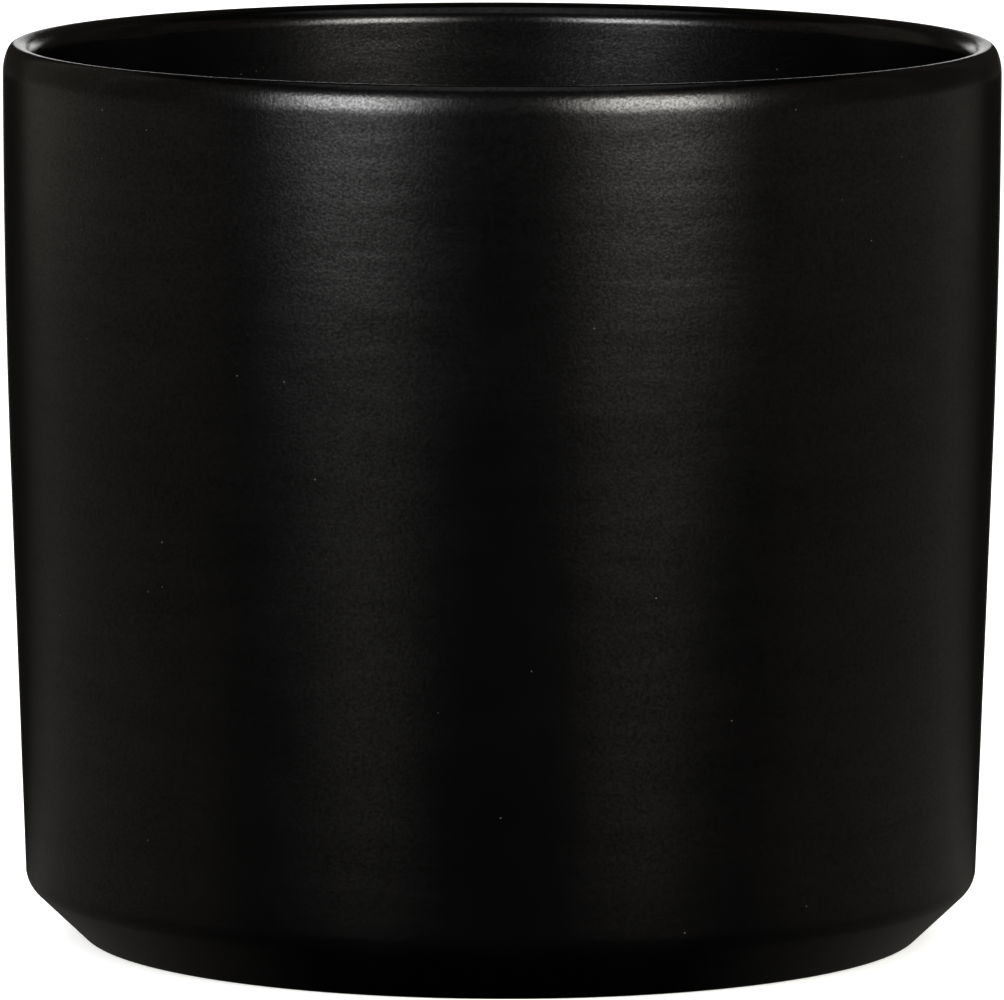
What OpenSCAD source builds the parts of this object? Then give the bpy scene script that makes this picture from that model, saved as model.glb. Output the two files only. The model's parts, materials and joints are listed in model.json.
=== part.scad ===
// Empty candle jar: a straight-sided stoneware tumbler with a bevelled foot, open at the top.
// The clay body carries three fired coats of satin glaze: one outside, one inside and one under
// the floor. Origin at the centre of the foot, +Z up towards the mouth. Millimetres.

/* [Jar] */
// Outside diameter at the lip, over the glaze
jar_d = 100; // [90:1:120]
// Height from the foot to the crest of the lip
jar_h = 90; // [80:1:110]

/* [Wall] */
// Lean of the lower outside wall from vertical, in degrees
wall_lean = 2; // [0.5:0.1:3]
// Height over which that lean eases to vertical below the lip
wall_ease_h = 42; // [30:1:60]

/* [Lip] */
// Width of the lip's outer rounding, from the wall to the crest
lip_outer_w = 1.25; // [1.2:0.05:2]
// Height of the lip's outer rounding
lip_outer_h = 3; // [2:0.1:3.5]
// Width of the lip's inner rounding, from the crest to the mouth
lip_inner_w = 1.85; // [1.5:0.05:2.5]
// Height of the lip's inner rounding
lip_inner_h = 2; // [1.5:0.1:2.5]

/* [Foot] */
// Height of the corner where the wall meets the bevel
bevel_h = 5.6; // [4:0.1:8]
// Angle of the bevel from vertical, in degrees
bevel_lean = 46.5; // [46:0.5:52]
// Radius that rounds the wall into the bevel
bevel_r = 2.8; // [1:0.1:6]
// Radius of the foot's outer and inner edges
foot_edge_r = 1; // [0.4:0.1:1]
// Width of the ring that the jar stands on, between its sharp edges
foot_ring_w = 5; // [4:0.1:8]
// Height of the hollow inside the ring
hollow_h = 2; // [1.5:0.1:3]
// Radius between the hollow's slope and its ceiling
hollow_r = 1.2; // [0.6:0.1:1.5]

/* [Inside] */
// Depth of the straight mouth that a lid's plug fits
mouth_h = 15; // [10:1:20]
// Lean of the lower inside wall from vertical, in degrees
inner_lean = 3; // [2:0.05:4]
// Height over which the inside wall eases from vertical to that lean
inner_ease_h = 30; // [15:1:35]
// Height of the floor's upper face above the foot
floor_h = 6; // [5:0.1:9]
// Radius between the inside wall and the floor
floor_r = 8; // [4:0.5:12]

/* [Glaze] */
// Thickness of the fired glaze
glaze_t = 0.3; // [0.3:0.05:0.4]

/* [Hidden] */
$fn = 180;
// Angle between the points of a small rounding, in degrees
round_step = 6;
// Number of straights in an easing curve and in each side of the lip
ease_steps = 8;
lip_steps = 20;

jar_r = jar_d / 2;
crest_r = jar_r - lip_outer_w;
mouth_r = crest_r - lip_inner_w;
// Height where the outside wall has become vertical, and the radius of its easing curve
upright_z = jar_h - lip_outer_h;
wall_ease_r = wall_ease_h / sin(wall_lean);
// The lower end of the straight mouth, and the radius of the inside wall's easing curve
mouth_z = jar_h - lip_inner_h - mouth_h;
inner_ease_r = inner_ease_h / sin(inner_lean);

// Direction at an angle from the outward radius, and the points of an arc between two angles
function heading(a) = [cos(a), sin(a)];
function arc(centre, r, from, to, steps) =
    [for (i = [0:steps]) centre + r * heading(from + (to - from) * i / steps)];
function rounding(centre, r, from, to) =
    arc(centre, r, from, to, ceil(abs(to - from) / round_step));

// Points of a lip's side at a depth of d below it: part of an ellipse of half-axes size
function unit(v) = v / norm(v);
function lip_side(size, d, from, to) = [
    for (i = [0:lip_steps])
        let (a = from + (to - from) * i / lip_steps)
            [crest_r, jar_h - size.y] + [size.x * cos(a), size.y * sin(a)]
                - d * unit([size.y * cos(a), size.x * sin(a)])
];

// Centre of the circle of radius r that rounds a corner between faces whose normals point
// at angles a and b. A negative radius rounds a hollow corner.
function round_centre(corner, r, a, b) =
    corner - r / cos((a - b) / 2) * heading((a + b) / 2);

// Outside wall: where its straight lower part starts, and the sharp corners under it
wall_start = [jar_r - wall_ease_r, upright_z] + wall_ease_r * heading(-wall_lean);
bevel_corner = [wall_start.x - (wall_start.y - bevel_h) * tan(wall_lean), bevel_h];
foot_corner = [bevel_corner.x - bevel_h * tan(bevel_lean), 0];
bevel_centre = round_centre(bevel_corner, bevel_r, -wall_lean, -bevel_lean);
foot_centre = round_centre(foot_corner, foot_edge_r, -bevel_lean, -90);

// Inside wall: where its straight lower part starts, and the centre of the floor's rounding
inner_start = [mouth_r - inner_ease_r, mouth_z] + inner_ease_r * heading(-inner_lean);
floor_tangent_z = floor_h + floor_r * (1 - sin(inner_lean));
floor_centre = [
    inner_start.x - (inner_start.y - floor_tangent_z) * tan(inner_lean)
        - floor_r * cos(inner_lean),
    floor_h + floor_r
];

// Hollow under the floor: its slope leans as much as the bevel, the other way
hollow_lean = 180 - bevel_lean;
ring_corner = [foot_corner.x - foot_ring_w, 0];
hollow_corner = [ring_corner.x - hollow_h * tan(bevel_lean), hollow_h];
ring_centre = round_centre(ring_corner, foot_edge_r, -90, -hollow_lean);
hollow_centre = round_centre(hollow_corner, -hollow_r, -90, -hollow_lean);

// Outlines of the outside, the inside and the hollow, each drawn at a depth of d below the
// glazed face. A convex rounding shrinks with depth and a hollow one grows, so the
// straights between them stay parallel.
function outside_outline(d) = concat(
    rounding(bevel_centre, bevel_r - d, -bevel_lean, -wall_lean),
    arc([jar_r - wall_ease_r, upright_z], wall_ease_r - d, -wall_lean, 0, ease_steps),
    lip_side([lip_outer_w, lip_outer_h], d, 0, 90)
);

function inside_outline(d) = concat(
    lip_side([lip_inner_w, lip_inner_h], d, 90, 180),
    arc([mouth_r - inner_ease_r, mouth_z], inner_ease_r + d, 0, -inner_lean, ease_steps),
    rounding(floor_centre, floor_r + d, -inner_lean, -90),
    [[0, floor_h - d]]
);

function hollow_outline(d) = concat(
    rounding(hollow_centre, hollow_r + d, bevel_lean, 90),
    [[0, hollow_h + d]]
);

// The ring's glazed edges, and the radii where the clay under them meets the ground
foot_edge = rounding(foot_centre, foot_edge_r, -90, -bevel_lean);
ring_edge = rounding(ring_centre, foot_edge_r, -90, -hollow_lean);
clay_foot_r = foot_corner.x - glaze_t / cos(bevel_lean);
clay_ring_r = ring_corner.x + glaze_t / cos(bevel_lean);

function reversed(points) = [for (i = [len(points) - 1:-1:0]) points[i]];

// A coat of glaze between its face and the clay, whose outlines run the same way
module coat(face, clay) {
    rotate_extrude() polygon(concat(face, reversed(clay)));
}

module jar_body() {
    color("tan")
        rotate_extrude()
            polygon(concat(
                [[clay_foot_r, 0]],
                outside_outline(glaze_t),
                inside_outline(glaze_t),
                reversed(hollow_outline(glaze_t)),
                [[clay_ring_r, 0]]
            ));
}

module outside_glaze() {
    color("black")
        coat(concat(foot_edge, outside_outline(0)),
             concat([[clay_foot_r, 0]], outside_outline(glaze_t)));
}

module inside_glaze() {
    color("black") coat(inside_outline(0), inside_outline(glaze_t));
}

module underside_glaze() {
    color("black")
        coat(concat(ring_edge, hollow_outline(0)),
             concat([[clay_ring_r, 0]], hollow_outline(glaze_t)));
}

jar_body();
outside_glaze();
inside_glaze();
underside_glaze();
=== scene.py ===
import json
import math

import bmesh
import bpy
from bpy.props import FloatProperty, IntProperty, PointerProperty, StringProperty
from mathutils import Matrix, Vector, noise


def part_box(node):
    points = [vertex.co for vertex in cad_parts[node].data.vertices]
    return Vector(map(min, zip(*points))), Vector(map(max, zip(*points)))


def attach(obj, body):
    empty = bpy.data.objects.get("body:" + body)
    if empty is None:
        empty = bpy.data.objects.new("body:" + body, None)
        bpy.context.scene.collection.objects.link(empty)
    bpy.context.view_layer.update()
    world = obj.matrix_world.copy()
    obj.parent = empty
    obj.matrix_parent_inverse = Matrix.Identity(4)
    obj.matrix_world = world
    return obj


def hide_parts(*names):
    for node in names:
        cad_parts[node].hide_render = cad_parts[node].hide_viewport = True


bl_info = {
    "name": "Glazed Candle Jar",
    "version": (1, 0, 0),
    "blender": (4, 5, 0),
    "location": "3D View > Sidebar > Jar",
    "description": "Coats of satin glaze on a fired clay candle jar, with its studio",
    "category": "Add Mesh",
}

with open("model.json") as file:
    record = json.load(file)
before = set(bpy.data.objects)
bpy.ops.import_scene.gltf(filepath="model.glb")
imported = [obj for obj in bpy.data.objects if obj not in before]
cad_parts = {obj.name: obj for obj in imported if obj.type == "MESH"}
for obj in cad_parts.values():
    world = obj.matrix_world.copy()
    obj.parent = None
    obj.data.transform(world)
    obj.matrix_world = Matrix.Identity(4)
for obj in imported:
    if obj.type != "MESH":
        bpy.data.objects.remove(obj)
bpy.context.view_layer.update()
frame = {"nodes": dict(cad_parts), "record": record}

MM = 0.001

# The jar's main sizes, as the frame gives them, in metres.
JAR_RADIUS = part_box("outside_glaze")[1].x
JAR_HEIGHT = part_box("outside_glaze")[1].z
CREST_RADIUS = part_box("inside_glaze")[1].x
GLAZE_THICKNESS = JAR_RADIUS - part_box("jar_body")[1].x
FLOOR_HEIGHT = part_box("inside_glaze")[0].z + GLAZE_THICKNESS
HOLLOW_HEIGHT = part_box("underside_glaze")[1].z - GLAZE_THICKNESS
MOUTH = next(m for m in frame["record"]["mounts"] if m["name"] == "mouth")["dims"]


def length(name, description, default):
    return FloatProperty(
        name=name, description=description, default=default,
        min=0.0, precision=5, unit="LENGTH", subtype="DISTANCE",
    )


def angle(name, description, degrees):
    return FloatProperty(
        name=name, description=description, default=math.radians(degrees),
        unit="ROTATION", subtype="ANGLE",
    )


def share(name, description, default):
    return FloatProperty(
        name=name, description=description, default=default,
        min=0.0, max=1.0, subtype="FACTOR",
    )


def hex_colour(name, description, default):
    return StringProperty(name=name, description=description, default=default)


class JarShape(bpy.types.PropertyGroup):
    """Sizes of the glazed faces."""

    radius: length("Radius", "Outside radius at the lip", JAR_RADIUS)
    height: length("Height", "Height of the lip's crest", JAR_HEIGHT)
    crest_radius: length("Crest radius", "Radius of the lip's crest", CREST_RADIUS)
    mouth_radius: length("Mouth radius", "Radius of the straight mouth", MOUTH["r_mm"] * MM)
    mouth_depth: length("Mouth depth", "Depth of the straight mouth", MOUTH["length_mm"] * MM)
    lip_outer_height: length("Outer lip", "Height of the lip's outer rounding", 3 * MM)
    lip_inner_height: length("Inner lip", "Height of the lip's inner rounding", 2 * MM)
    wall_lean: angle("Wall lean", "Lean of the lower outside wall from vertical", 2)
    wall_ease: length("Wall ease", "Height over which that lean eases to vertical", 42 * MM)
    bevel_height: length("Bevel height", "Height of the corner over the foot's bevel", 5.6 * MM)
    bevel_lean: angle("Bevel lean", "Angle of the foot's bevel from vertical", 46.5)
    bevel_round: length("Bevel round", "Radius between the wall and the bevel", 2.8 * MM)
    foot_round: length("Foot round", "Radius of the ring's edges", 1 * MM)
    ring_width: length("Ring width", "Width of the ring between its sharp edges", 5 * MM)
    hollow_height: length("Hollow height", "Height of the hollow in the ring", HOLLOW_HEIGHT)
    hollow_round: length("Hollow round", "Radius round the hollow's ceiling", 1.2 * MM)
    inner_lean: angle("Inner lean", "Lean of the lower inside wall from vertical", 3)
    inner_ease: length("Inner ease", "Height over which the inside wall takes its lean", 30 * MM)
    floor_height: length("Floor height", "Height of the floor's upper face", FLOOR_HEIGHT)
    floor_round: length("Floor round", "Radius between the inside wall and the floor", 8 * MM)
    glaze: length("Glaze", "Thickness of the fired glaze", GLAZE_THICKNESS)
    waviness: length("Waviness", "Height of the turning rings left in the wall", 0.012 * MM)
    ring_pitch: length("Ring pitch", "Distance between the turning rings", 7 * MM)
    row_pitch: length("Row pitch", "Height of a row of faces", 0.9 * MM)
    turns: IntProperty(name="Turns", description="Faces round the jar", default=192, min=16)


class GlazeLook(bpy.types.PropertyGroup):
    """Finish of the satin glaze."""

    colour: hex_colour("Colour", "Colour of the glaze", "#010101")
    tint_colour: hex_colour("Tint", "Colour of its warmer clouds", "#020101")
    cloud_size: length("Cloud size", "Size of the clouds of tint and gloss", 9 * MM)
    roughness: share("Roughness", "Roughness of the satin surface", 0.22)
    gloss_spread: share("Gloss spread", "How much the gloss varies with grain and streaks", 0.22)
    peel_size: length("Peel size", "Size of the orange-peel grain", 0.30 * MM)
    peel_depth: length("Peel depth", "Depth of the orange-peel grain", 0.010 * MM)
    streak_height: length("Streak height", "Height of the streaks round the wall", 2.5 * MM)
    streak_depth: length("Streak depth", "Depth of the streaks round the wall", 0.030 * MM)
    speck_spacing: length("Speck cell", "Size of the cell that may hold one speck", 1.5 * MM)
    speck_size: length("Speck size", "Size of the mineral specks", 0.16 * MM)
    speck_share: share("Speck share", "Share of the cells that hold a speck", 0.09)
    speck_colour: hex_colour("Speck colour", "Colour of the mineral specks", "#45413A")


class ClayLook(bpy.types.PropertyGroup):
    """Finish of the bare clay."""

    colour: hex_colour("Colour", "Colour of the fired clay", "#AE977C")
    toast_colour: hex_colour("Toasting", "Colour where the kiln toasted the clay", "#8C6E54")
    grit_colour: hex_colour("Grit", "Colour of the grit in the clay", "#5E4E40")
    toast_size: length("Toasting size", "Size of the toasted patches", 6 * MM)
    grit_size: length("Grit size", "Size of the grit in the clay", 0.4 * MM)


class StudioLook(bpy.types.PropertyGroup):
    """Floor, lights and camera."""

    floor_colour: hex_colour("Floor colour", "Colour of the studio floor", "#F4F4F2")
    floor_glow: FloatProperty(
        name="Floor glow", description="Glow that lifts the shadow on the floor", default=0.45,
    )
    sky: FloatProperty(name="Sky", description="Brightness of the studio's white tent", default=1.6)
    # The table's glow and its backdrop strip are painted light and a painted reflection on a sheet
    # that only the glaze's reflections see.
    table_glow: FloatProperty(
        name="Table glow", description="Brightness of the table round the jar", default=1.0,
    )
    painted_backdrop_reflection: FloatProperty(
        name="Back glow", description="Brightness of the backdrop behind the jar", default=0.5,
    )
    lens: FloatProperty(name="Lens", description="Focal length in millimetres", default=417.0)
    distance: length("Distance", "From the camera to the middle of the jar", 1.17)
    elevation: angle("Elevation", "Height of the camera over the horizon", 7.10)
    roll: angle("Roll", "Turn of the camera about its own axis", 0.116)


def linear(colour):
    """A linear RGBA colour from an sRGB hex value."""
    channels = (int(colour[i:i + 2], 16) / 255 for i in (1, 3, 5))
    return (*(c / 12.92 if c <= 0.04045 else ((c + 0.055) / 1.055) ** 2.4 for c in channels), 1.0)


def add_node(tree, kind, settings=None, links=None, **named_links):
    """Adds a node. A setting names a property or an input, and a link gives an input its
    source. An input is named, or numbered where its name isn't the only one."""
    made = tree.nodes.new(kind)
    for key, value in (settings or {}).items():
        if isinstance(key, str) and hasattr(made, key):
            setattr(made, key, value)
        else:
            made.inputs[key].default_value = value
    for key, source in {**(links or {}), **named_links}.items():
        tree.links.new(source, made.inputs[key])
    return made


def new_material(name):
    material = bpy.data.materials.new(name)
    material.use_nodes = True
    material.node_tree.nodes.clear()
    return material, material.node_tree


def per(size):
    """A texture scale that gives a pattern of that size."""
    return 1 / size


def turned_place(tree, stretch):
    """Object coordinates whose height also grows with the radius, squeezed round the axis, so
    that a pattern runs round the wall in streaks and round the floor in rings."""
    place = add_node(tree, "ShaderNodeTexCoord").outputs["Object"]
    axes = add_node(tree, "ShaderNodeSeparateXYZ", Vector=place).outputs
    flat = add_node(tree, "ShaderNodeCombineXYZ", X=axes["X"], Y=axes["Y"]).outputs["Vector"]
    radius = add_node(
        tree, "ShaderNodeVectorMath", {"operation": "LENGTH"}, Vector=flat,
    ).outputs["Value"]
    along = add_node(
        tree, "ShaderNodeMath", {"operation": "ADD"}, {0: axes["Z"], 1: radius},
    ).outputs["Value"]
    raised = add_node(
        tree, "ShaderNodeCombineXYZ", X=axes["X"], Y=axes["Y"], Z=along,
    ).outputs["Vector"]
    return add_node(
        tree, "ShaderNodeMapping", {"Scale": (1 / stretch, 1 / stretch, 1)}, Vector=raised,
    ).outputs["Vector"]


# How much the roughness varies with the clouds, and how much of a streak shows in the gloss.
ROUGHNESS_SPREAD = 0.03
STREAK_SHARE = 0.25


def satin_glaze(look):
    """Satin black tableware glaze on slip-cast stoneware, dipped and fired. It gives a deep
    black with soft highlights, which break into a fine orange-peel grain and into faint streaks
    where the glaze ran over the turning marks, and a few mineral specks."""
    material, tree = new_material("satin_black_glaze")
    place = add_node(tree, "ShaderNodeTexCoord").outputs["Object"]

    streaks = add_node(tree, "ShaderNodeTexNoise", {
        "Scale": per(look.streak_height), "Detail": 1.5, "Roughness": 0.5,
    }, Vector=turned_place(tree, 5)).outputs["Fac"]
    peel = add_node(tree, "ShaderNodeTexNoise", {
        "Scale": per(look.peel_size), "Detail": 1.5, "Roughness": 0.5,
    }, Vector=place).outputs["Fac"]
    clouds = add_node(tree, "ShaderNodeTexNoise", {
        "Scale": per(look.cloud_size), "Detail": 2.0, "Roughness": 0.5,
    }, Vector=place).outputs["Fac"]

    ran = add_node(tree, "ShaderNodeBump", {
        "Strength": 1.0, "Distance": look.streak_depth,
    }, Height=streaks).outputs["Normal"]
    skin = add_node(tree, "ShaderNodeBump", {
        "Strength": 1.0, "Distance": look.peel_depth,
    }, Height=peel, Normal=ran).outputs["Normal"]

    worn = add_node(tree, "ShaderNodeMapRange", {
        "To Min": look.roughness - ROUGHNESS_SPREAD, "To Max": look.roughness + ROUGHNESS_SPREAD,
    }, Value=clouds).outputs["Result"]

    texture = add_node(
        tree, "ShaderNodeMath", {"operation": "MULTIPLY_ADD", 1: STREAK_SHARE},
        {0: streaks, 2: peel},
    ).outputs["Value"]
    gloss = add_node(tree, "ShaderNodeMapRange", {
        "From Min": 0.4, "From Max": 0.85,
        "To Min": 0.5 - look.gloss_spread, "To Max": 0.5 + look.gloss_spread,
    }, Value=texture).outputs["Result"]

    cells = add_node(tree, "ShaderNodeTexVoronoi", {
        "Scale": per(look.speck_spacing), "Randomness": 1.0,
    }, Vector=place).outputs
    near = add_node(tree, "ShaderNodeMapRange", {
        "From Min": 0.5 * look.speck_size / look.speck_spacing,
        "From Max": 0.3 * look.speck_size / look.speck_spacing,
    }, Value=cells["Distance"]).outputs["Result"]
    pick = add_node(tree, "ShaderNodeSeparateColor", Color=cells["Color"]).outputs["Red"]
    some = add_node(tree, "ShaderNodeMath", {
        "operation": "GREATER_THAN", 1: 1 - look.speck_share,
    }, {0: pick}).outputs["Value"]
    specks = add_node(
        tree, "ShaderNodeMath", {"operation": "MULTIPLY"}, {0: near, 1: some},
    ).outputs["Value"]

    tone = add_node(tree, "ShaderNodeMix", {
        "data_type": "RGBA", 6: linear(look.colour), 7: linear(look.tint_colour),
    }, {0: clouds}).outputs[2]
    colour = add_node(tree, "ShaderNodeMix", {
        "data_type": "RGBA", 7: linear(look.speck_colour),
    }, {0: specks, 6: tone}).outputs[2]

    shader = add_node(tree, "ShaderNodeBsdfPrincipled", {"IOR": 1.5}, {
        "Base Color": colour, "Roughness": worn, "Normal": skin, "Specular IOR Level": gloss,
    })
    add_node(tree, "ShaderNodeOutputMaterial", Surface=shader.outputs["BSDF"])
    return material


def bare_clay(look):
    """Fired stoneware clay, wiped clean and ground flat where the jar stands. It gives a dull
    buff ring with darker grit in it and a rough, open skin."""
    material, tree = new_material("bare_fired_clay")
    place = add_node(tree, "ShaderNodeTexCoord").outputs["Object"]
    toast = add_node(tree, "ShaderNodeTexNoise", {
        "Scale": per(look.toast_size), "Detail": 4.0, "Roughness": 0.6,
    }, Vector=place).outputs["Fac"]
    grains = add_node(tree, "ShaderNodeTexVoronoi", {
        "Scale": per(look.grit_size), "Randomness": 1.0,
    }, Vector=place).outputs
    pick = add_node(tree, "ShaderNodeSeparateColor", Color=grains["Color"]).outputs["Red"]
    dark = add_node(tree, "ShaderNodeMapRange", {
        "From Min": 0.86, "From Max": 0.92, "To Max": 0.8,
    }, Value=pick).outputs["Result"]
    warm = add_node(tree, "ShaderNodeMapRange", {
        "From Min": 0.4, "From Max": 0.7, "To Max": 0.6,
    }, Value=toast).outputs["Result"]
    body = add_node(tree, "ShaderNodeMix", {
        "data_type": "RGBA", 6: linear(look.colour), 7: linear(look.toast_colour),
    }, {0: warm}).outputs[2]
    colour = add_node(tree, "ShaderNodeMix", {
        "data_type": "RGBA", 7: linear(look.grit_colour),
    }, {0: dark, 6: body}).outputs[2]
    rough = add_node(tree, "ShaderNodeTexNoise", {
        "Scale": per(look.grit_size), "Detail": 5.0, "Roughness": 0.7,
    }, Vector=place).outputs["Fac"]
    skin = add_node(tree, "ShaderNodeBump", {
        "Strength": 1.0, "Distance": 0.05 * MM,
    }, Height=rough).outputs["Normal"]
    shader = add_node(tree, "ShaderNodeBsdfPrincipled", {"Roughness": 0.85}, {
        "Base Color": colour, "Normal": skin,
    })
    add_node(tree, "ShaderNodeOutputMaterial", Surface=shader.outputs["BSDF"])
    return material


class Pen:
    """Draws a profile as a chain of edges in the XZ plane. It starts at a point and heads at an
    angle from +X, and a positive turn is anticlockwise."""

    def __init__(self, x, z, heading, row_pitch):
        self.bm = bmesh.new()
        self.tip = self.bm.verts.new((x, 0, z))
        self.heading = heading
        self.row_pitch = row_pitch

    def forward(self, distance):
        """A straight, in rows of about one pitch."""
        rows = max(1, round(distance / self.row_pitch))
        step = Vector((math.cos(self.heading), 0, math.sin(self.heading))) * distance / rows
        for _ in range(rows):
            made = bmesh.ops.extrude_vert_indiv(self.bm, verts=[self.tip])
            bmesh.ops.translate(self.bm, verts=made["verts"], vec=step)
            self.tip = made["verts"][0]

    def arc(self, radius, turning, rows=None):
        """A true arc that starts along the heading."""
        side = self.heading + math.copysign(math.pi / 2, turning)
        centre = self.tip.co + radius * Vector((math.cos(side), 0, math.sin(side)))
        rows = rows or max(1, round(radius * abs(turning) / self.row_pitch))
        made = bmesh.ops.spin(
            self.bm, geom=[self.tip], cent=centre, axis=(0, 1, 0), angle=-turning, steps=rows,
        )
        self.tip = next(v for v in made["geom_last"] if isinstance(v, bmesh.types.BMVert))
        self.heading += turning

    def lip(self, width, height, turning):
        """A quarter ellipse from the crest, with its finest rows next to the crest."""
        level = self.tip.co.z - width
        crest = math.copysign(math.radians(4), turning)
        self.arc(width, crest, rows=6)
        self.arc(width, turning - crest, rows=22)
        bmesh.ops.scale(
            self.bm, vec=(1, 1, height / width), verts=self.bm.verts,
            space=Matrix.Translation((0, 0, -level)),
        )


def turn(bm, steps):
    """Turns the profile once round the Z axis and closes its seam and its poles."""
    bmesh.ops.spin(
        bm, geom=bm.verts[:] + bm.edges[:], cent=(0, 0, 0), axis=(0, 0, 1),
        angle=math.tau, steps=steps, use_merge=True,
    )
    bmesh.ops.remove_doubles(bm, verts=bm.verts, dist=0.001 * MM)


def face_the_air(bm, air):
    """Points the faces to the side of the coat on which the point in the air lies."""
    bmesh.ops.recalc_face_normals(bm, faces=bm.faces)
    nearest = min(bm.faces, key=lambda face: (face.calc_center_median() - air).length)
    if nearest.normal.dot(air - nearest.calc_center_median()) < 0:
        bmesh.ops.reverse_faces(bm, faces=bm.faces)


def leave_turning_rings(bm, shape):
    """Moves the wall in and out a little, as a shaping tool leaves it, and keeps the edges."""
    for vert in bm.verts:
        out = Vector((vert.co.x, vert.co.y, 0))
        if out.length < shape.floor_round:
            continue
        fade = min(1, (shape.height - vert.co.z) / (10 * MM), vert.co.z / (8 * MM))
        spot = Vector((out.x / 0.05, out.y / 0.05, vert.co.z / shape.ring_pitch))
        vert.co += out.normalized() * shape.waviness * max(fade, 0) * noise.noise(spot)


def finish_piece(bm, name, material, node):
    """Makes the coat an object that rides on the jar's body and stands for its CAD node."""
    for face in bm.faces:
        face.smooth = True
    for edge in bm.edges:
        if len(edge.link_faces) == 2 and edge.calc_face_angle() > math.radians(40):
            edge.smooth = False
    mesh = bpy.data.meshes.new(name)
    bm.to_mesh(mesh)
    bm.free()
    mesh.materials.append(material)
    piece = bpy.data.objects.new(name, mesh)
    bpy.context.scene.collection.objects.link(piece)
    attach(piece, "root")
    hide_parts(node)


def glaze_material():
    return bpy.data.materials.get("satin_black_glaze") or satin_glaze(bpy.context.scene.glaze_look)


def coat(shape, pen, air, name, node):
    """One coat of glaze: its face is turned from a profile and then thickened inwards."""
    bm = pen.bm
    turn(bm, shape.turns)
    face_the_air(bm, Vector(air))
    leave_turning_rings(bm, shape)
    bmesh.ops.solidify(bm, geom=bm.faces[:], thickness=shape.glaze)
    finish_piece(bm, name, glaze_material(), node)


def tangent(radius, turning):
    """How far from a corner a rounding of that radius starts, for the angle that it turns."""
    return radius * math.tan(turning / 2)


class JAR_OT_outside_glaze(bpy.types.Operator):
    """Add the coat of glaze on the outside, from the lip's crest to the foot ring"""

    bl_idname = "jar.outside_glaze"
    bl_label = "Outside Glaze"

    def execute(self, context):
        s = context.scene.jar_shape
        bevel_turn = s.bevel_lean - s.wall_lean
        foot_turn = math.pi / 2 - s.bevel_lean
        lip_width = s.radius - s.crest_radius
        lip_level = s.height - s.lip_outer_height
        wall_drop = lip_level - s.wall_ease - s.bevel_height
        wall = wall_drop / math.cos(s.wall_lean) - tangent(s.bevel_round, bevel_turn)
        bevel = s.bevel_height / math.cos(s.bevel_lean) - tangent(s.bevel_round, bevel_turn)

        pen = Pen(s.crest_radius, lip_level + lip_width, 0, s.row_pitch)
        pen.lip(lip_width, s.lip_outer_height, -math.pi / 2)
        pen.arc(s.wall_ease / math.sin(s.wall_lean), -s.wall_lean)
        pen.forward(wall)
        pen.arc(s.bevel_round, -bevel_turn, rows=14)
        pen.forward(bevel - tangent(s.foot_round, foot_turn))
        pen.arc(s.foot_round, -foot_turn, rows=8)
        coat(s, pen, (2 * s.radius, 0, s.height / 2), "outside_glaze_coat", "outside_glaze")
        return {"FINISHED"}


class JAR_OT_inside_glaze(bpy.types.Operator):
    """Add the coat of glaze on the inside, from the lip's crest over the floor"""

    bl_idname = "jar.inside_glaze"
    bl_label = "Inside Glaze"

    def execute(self, context):
        s = context.scene.jar_shape
        floor_turn = math.pi / 2 - s.inner_lean
        lip_width = s.crest_radius - s.mouth_radius
        lip_level = s.height - s.lip_inner_height
        wall_drop = lip_level - s.mouth_depth - s.inner_ease - s.floor_height
        wall = wall_drop / math.cos(s.inner_lean) - tangent(s.floor_round, floor_turn)

        pen = Pen(s.crest_radius, lip_level + lip_width, math.pi, s.row_pitch)
        pen.lip(lip_width, s.lip_inner_height, math.pi / 2)
        pen.forward(s.mouth_depth)
        pen.arc(s.inner_ease / math.sin(s.inner_lean), -s.inner_lean)
        pen.forward(wall)
        pen.arc(s.floor_round, -floor_turn, rows=20)
        pen.forward(pen.tip.co.x)
        coat(s, pen, (0, 0, s.height / 2), "inside_glaze_coat", "inside_glaze")
        return {"FINISHED"}


class JAR_OT_underside_glaze(bpy.types.Operator):
    """Add the coat of glaze in the hollow inside the foot ring"""

    bl_idname = "jar.underside_glaze"
    bl_label = "Underside Glaze"

    def execute(self, context):
        s = context.scene.jar_shape
        turning = math.pi / 2 - s.bevel_lean
        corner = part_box("underside_glaze")[1].x - s.glaze / math.cos(s.bevel_lean)
        slope = s.hollow_height / math.cos(s.bevel_lean)

        pen = Pen(corner + tangent(s.foot_round, turning), 0, math.pi, s.row_pitch)
        pen.arc(s.foot_round, -turning, rows=8)
        pen.forward(slope - tangent(s.foot_round, turning) - tangent(s.hollow_round, turning))
        pen.arc(s.hollow_round, turning, rows=8)
        pen.forward(pen.tip.co.x)
        coat(s, pen, (0, 0, -s.height), "underside_glaze_coat", "underside_glaze")
        return {"FINISHED"}


class JAR_OT_foot_ring(bpy.types.Operator):
    """Give the clay body its bare, ground finish, which shows on the foot ring"""

    bl_idname = "jar.foot_ring"
    bl_label = "Bare Foot Ring"

    def execute(self, context):
        body = frame["nodes"]["jar_body"]
        clay = bare_clay(context.scene.clay_look)
        for slot in body.material_slots:
            slot.material = clay
        return {"FINISHED"}


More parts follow.
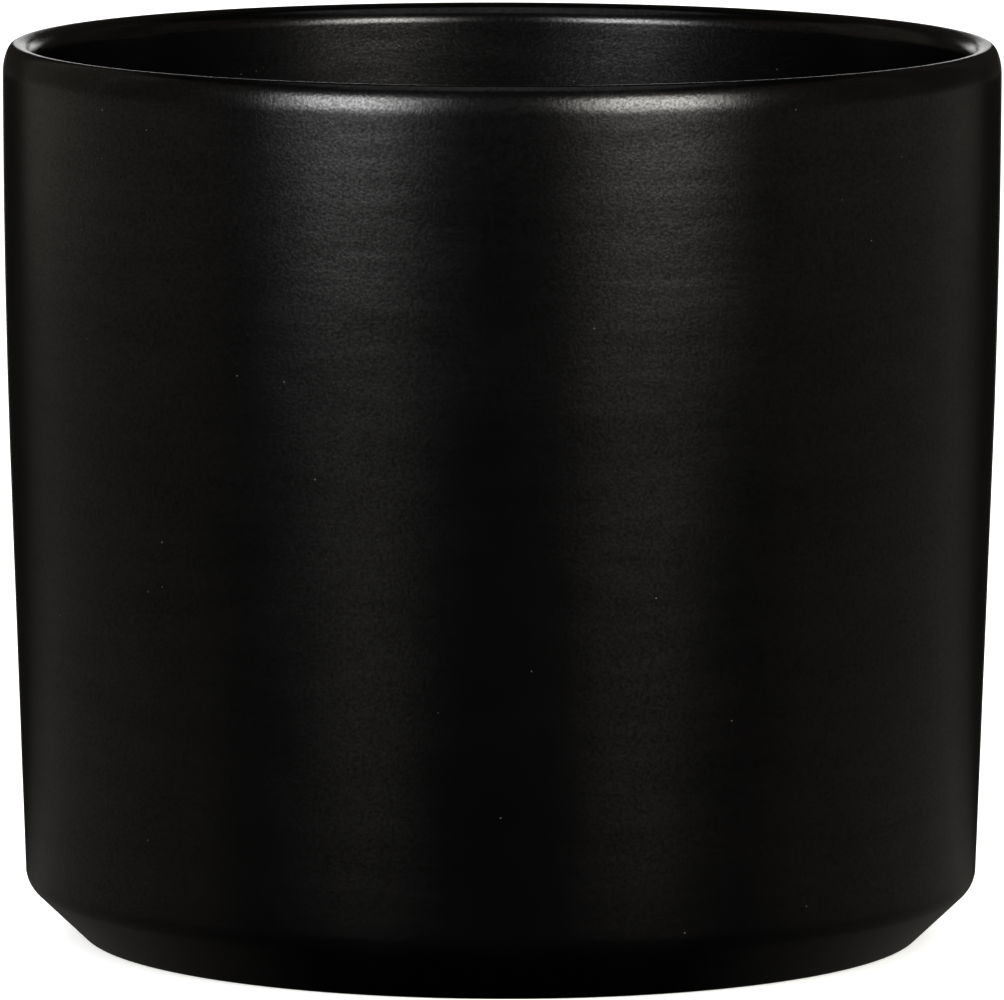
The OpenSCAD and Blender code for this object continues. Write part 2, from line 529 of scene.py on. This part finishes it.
# The studio's soft lights. Each panel has its azimuth from the camera, the half of its width,
# its lowest and highest elevation, all in degrees as the jar sees them, its brightness and its
# tint.
PANELS = {
    "left_softbox": (-33.6, 9, 11, 29, 8.5, "#FFFFFF"),
    "left_softbox_edge": (-33.6, 15, 9, 30, 5.0, "#FFFFFF"),
    "right_softbox": (33.8, 10, 11, 29, 9.0, "#FFFCF7"),
    "right_softbox_edge": (33.8, 16, 9, 30, 5.0, "#FFFCF7"),
    "left_low_glow": (-33.6, 9, 0.5, 11, 1.1, "#FFFFFF"),
    "left_low_glow_edge": (-33.6, 16, 0.5, 9, 0.5, "#FFFFFF"),
    "right_low_glow": (34.4, 10, 0.5, 11, 0.9, "#FFFCF7"),
    "right_low_glow_edge": (34.4, 17, 0.5, 9, 0.4, "#FFFCF7"),
    "left_flat": (-82, 19, -3, 45, 0.08, "#F7EEDD"),
    "right_flat": (83, 20, -3, 45, 0.065, "#F7EEDD"),
    "left_rear_flat": (-119, 20, -3, 45, 0.12, "#F7EEDD"),
    "right_rear_flat": (119, 20, -3, 45, 0.045, "#F7EEDD"),
    "back_flat": (180, 40, 0, 60, 0.03, "#F7EEDD"),
    "left_backdrop": (-173.5, 5, 5, 13.5, 1.6, "#FFFFFF"),
    "right_backdrop": (173.5, 5, 5, 13.5, 1.6, "#FFFFFF"),
    "overhead": (0, 25, 60, 100, 0.35, "#FFFFFF"),
}
PANEL_DISTANCE = 0.45


def add_light(name, width, height, brightness, tint):
    """A rectangular area light of an even brightness, where 1 is a white surface in full light.
    The camera doesn't see it."""
    light = bpy.data.lights.new(name, "AREA")
    light.shape = "RECTANGLE"
    light.size, light.size_y = width, height
    light.energy = brightness * math.pi * width * height
    light.color = linear(tint)[:3]
    lamp = bpy.data.objects.new(name, light)
    bpy.context.scene.collection.objects.link(lamp)
    lamp.visible_camera = False
    return lamp


def add_panel(name, azimuth, half_width, lowest, highest, brightness, tint):
    """An upright panel of light that faces the middle of the jar."""
    width, height = (
        2 * PANEL_DISTANCE * math.tan(math.radians(half))
        for half in (half_width, (highest - lowest) / 2)
    )
    lamp = add_light(name, width, height, brightness, tint)
    a, e = math.radians(azimuth), math.radians((lowest + highest) / 2)
    back = Vector((math.sin(a) * math.cos(e), -math.cos(a) * math.cos(e), math.sin(e)))
    lamp.location = Vector((0, 0, JAR_HEIGHT / 2)) + PANEL_DISTANCE * back
    lamp.rotation_euler = back.to_track_quat("Z", "Y").to_euler()


# The painted light of the table that the glaze reflects, by the angle in degrees from straight
# behind the jar: painted pools of light beside the jar and under the two softboxes, and painted
# shade in front and behind.
TABLE_GLOW = ((35, 0.01), (52, 0.125), (80, 0.11), (105, 0.075), (120, 0.01), (132, 0.04),
              (143, 0.16), (155, 0.15), (165, 0.0))
# How far in front of the jar's axis the bearings are taken.
GLOW_CENTRE = 30 * MM
# The distances from the jar's middle plane between which the painted shade near the jar gives way
# to the table's full glow.
GLOW_START, GLOW_FULL = 10 * MM, 70 * MM
# The strip of painted backdrop reflection: where it starts behind the axis, its half width, the
# softness of its edges, and how much wider it grows with distance.
STRIP_START, STRIP_HALF_WIDTH, STRIP_EDGE, STRIP_SPREAD = 40 * MM, 45 * MM, 5 * MM, 0.16


def table_glow(look):
    """What the glaze sees of the table, as painted light on a glowing sheet: painted pools of light
    by bearing, painted shade that darkens it towards the jar, and a painted reflection of a lit
    backdrop in a strip straight behind it."""
    material, tree = new_material("table_glow")
    place = add_node(tree, "ShaderNodeTexCoord").outputs["Object"]
    axes = add_node(tree, "ShaderNodeSeparateXYZ", Vector=place).outputs
    aside = add_node(
        tree, "ShaderNodeMath", {"operation": "ABSOLUTE"}, {0: axes["X"]},
    ).outputs["Value"]

    back = add_node(
        tree, "ShaderNodeMath", {"operation": "ADD", 1: GLOW_CENTRE}, {0: axes["Y"]},
    ).outputs["Value"]
    bearing = add_node(
        tree, "ShaderNodeMath", {"operation": "ARCTAN2"}, {0: aside, 1: back},
    ).outputs["Value"]
    half_turn = add_node(
        tree, "ShaderNodeMath", {"operation": "DIVIDE", 1: math.pi}, {0: bearing},
    ).outputs["Value"]
    # Painted pools of light beside the jar and under the softboxes, and painted shade in front and
    # behind, by bearing.
    painted_light_by_bearing = add_node(tree, "ShaderNodeValToRGB", Fac=half_turn)
    stops = painted_light_by_bearing.color_ramp.elements
    for degrees, brightness in TABLE_GLOW[1:-1]:
        stops.new(degrees / 180).color = (brightness, brightness, brightness, 1)
    for stop, (degrees, brightness) in ((stops[0], TABLE_GLOW[0]), (stops[-1], TABLE_GLOW[-1])):
        stop.position = degrees / 180
        stop.color = (brightness, brightness, brightness, 1)
    # Painted shade: the table's glow darkens towards the jar's middle plane.
    away = add_node(tree, "ShaderNodeMapRange", {
        "From Min": GLOW_START, "From Max": GLOW_FULL, "To Max": look.table_glow,
    }, Value=aside).outputs["Result"]
    painted_side_light = add_node(
        tree, "ShaderNodeMath", {"operation": "MULTIPLY"}, {0: painted_light_by_bearing.outputs["Color"], 1: away},
    ).outputs["Value"]

    # Painted reflection of a lit backdrop, in a strip straight behind the jar.
    spread = add_node(
        tree, "ShaderNodeMath", {"operation": "MULTIPLY_ADD", 1: -STRIP_SPREAD},
        {0: axes["Y"], 2: aside},
    ).outputs["Value"]
    within = add_node(tree, "ShaderNodeMapRange", {
        "interpolation_type": "SMOOTHSTEP",
        "From Min": STRIP_HALF_WIDTH + STRIP_EDGE, "From Max": STRIP_HALF_WIDTH - STRIP_EDGE,
    }, Value=spread).outputs["Result"]
    behind = add_node(tree, "ShaderNodeMapRange", {
        "interpolation_type": "SMOOTHSTEP",
        "From Min": STRIP_START - 2 * STRIP_EDGE, "From Max": STRIP_START + 2 * STRIP_EDGE,
        "To Max": look.painted_backdrop_reflection,
    }, Value=axes["Y"]).outputs["Result"]
    painted_backdrop_reflection = add_node(
        tree, "ShaderNodeMath", {"operation": "MULTIPLY"}, {0: within, 1: behind},
    ).outputs["Value"]

    total = add_node(
        tree, "ShaderNodeMath", {"operation": "MAXIMUM"}, {0: painted_side_light, 1: painted_backdrop_reflection},
    ).outputs["Value"]
    glow = add_node(tree, "ShaderNodeEmission", {"Color": linear("#FBF6EC")}, Strength=total)
    add_node(tree, "ShaderNodeOutputMaterial", Surface=glow.outputs["Emission"])
    return material


def add_sheet(name, size, height, material):
    """A flat square sheet of the stage."""
    bm = bmesh.new()
    bmesh.ops.create_grid(bm, x_segments=1, y_segments=1, size=size)
    bmesh.ops.translate(bm, verts=bm.verts, vec=(0, 0, height))
    mesh = bpy.data.meshes.new(name)
    bm.to_mesh(mesh)
    bm.free()
    mesh.materials.append(material)
    sheet = bpy.data.objects.new(name, mesh)
    bpy.context.scene.collection.objects.link(sheet)
    return sheet


def pale_floor(look):
    """Matt white paper, which glows a little, so that only a faint shadow shows where the jar
    stands. It is clear from below, so that the jar's underside can be seen."""
    material, tree = new_material("pale_floor")
    shader = add_node(tree, "ShaderNodeBsdfPrincipled", {
        "Base Color": linear(look.floor_colour), "Roughness": 0.9,
        "Emission Color": linear(look.floor_colour), "Emission Strength": look.floor_glow,
    })
    clear = add_node(tree, "ShaderNodeBsdfTransparent")
    below = add_node(tree, "ShaderNodeNewGeometry").outputs["Backfacing"]
    mix = add_node(tree, "ShaderNodeMixShader", None, {
        0: below, 1: shader.outputs["BSDF"], 2: clear.outputs["BSDF"],
    })
    add_node(tree, "ShaderNodeOutputMaterial", Surface=mix.outputs["Shader"])
    return material


def add_floor(look):
    """The seen floor, and a sheet of painted table light that only the glaze's reflections see."""
    floor = add_sheet("studio_floor", 4, -0.02 * MM, pale_floor(look))
    floor.visible_glossy = False
    # This sheet only glows: it holds painted table light and shade and a painted backdrop
    # reflection.
    table = add_sheet("painted_light_table", 2, -0.01 * MM, table_glow(look))
    table.visible_camera = table.visible_diffuse = False
    table.visible_shadow = table.visible_transmission = False


# Where the camera aims, from the middle of the jar.
AIM_OFFSET = Vector((0.057, 0, -1.19)) * MM


def add_camera(look):
    data = bpy.data.cameras.new("camera")
    data.lens = look.lens
    data.sensor_width = 36
    data.clip_end = 20
    camera = bpy.data.objects.new("camera", data)
    bpy.context.scene.collection.objects.link(camera)
    e = look.elevation
    back = Vector((0, -math.cos(e), math.sin(e)))
    middle = Vector((0, 0, JAR_HEIGHT / 2))
    camera.location = middle + look.distance * back
    away = camera.location - (middle + AIM_OFFSET)
    camera.rotation_euler = (
        away.to_track_quat("Z", "Y").to_matrix() @ Matrix.Rotation(look.roll, 3, "Z")
    ).to_euler()
    bpy.context.scene.camera = camera


def add_sky(look):
    world = bpy.data.worlds.new("white_tent")
    world.use_nodes = True
    background = world.node_tree.nodes["Background"]
    background.inputs["Color"].default_value = (1, 1, 1, 1)
    background.inputs["Strength"].default_value = look.sky
    world.cycles_visibility.glossy = False
    bpy.context.scene.world = world


class JAR_OT_stage(bpy.types.Operator):
    """Set up the pale floor, the soft lights and the camera"""

    bl_idname = "jar.stage"
    bl_label = "Studio"

    def execute(self, context):
        look = context.scene.studio_look
        add_floor(look)
        add_sky(look)
        for name, panel in PANELS.items():
            add_panel(name, *panel)
        add_camera(look)
        context.scene.view_settings.view_transform = "Standard"
        return {"FINISHED"}


class JAR_PT_panel(bpy.types.Panel):
    """Sizes, finishes and pieces of the jar"""

    bl_idname = "JAR_PT_panel"
    bl_label = "Glazed Candle Jar"
    bl_space_type = "VIEW_3D"
    bl_region_type = "UI"
    bl_category = "Jar"

    def draw(self, context):
        for group in ("jar_shape", "glaze_look", "clay_look", "studio_look"):
            settings = getattr(context.scene, group)
            box = self.layout.box()
            for name in settings.__annotations__:
                box.prop(settings, name)
        for operator in OPERATORS:
            self.layout.operator(operator.bl_idname)


GROUPS = {
    "jar_shape": JarShape,
    "glaze_look": GlazeLook,
    "clay_look": ClayLook,
    "studio_look": StudioLook,
}
OPERATORS = (
    JAR_OT_foot_ring,
    JAR_OT_outside_glaze,
    JAR_OT_inside_glaze,
    JAR_OT_underside_glaze,
    JAR_OT_stage,
)


def register():
    for cls in (*GROUPS.values(), *OPERATORS, JAR_PT_panel):
        bpy.utils.register_class(cls)
    for name, group in GROUPS.items():
        setattr(bpy.types.Scene, name, PointerProperty(type=group))


def unregister():
    for name in GROUPS:
        delattr(bpy.types.Scene, name)
    for cls in reversed((*GROUPS.values(), *OPERATORS, JAR_PT_panel)):
        bpy.utils.unregister_class(cls)


def main():
    register()
    bpy.ops.jar.stage()
    bpy.ops.jar.foot_ring()
    bpy.ops.jar.outside_glaze()
    bpy.ops.jar.inside_glaze()
    bpy.ops.jar.underside_glaze()


if __name__ == "__main__":
    main()
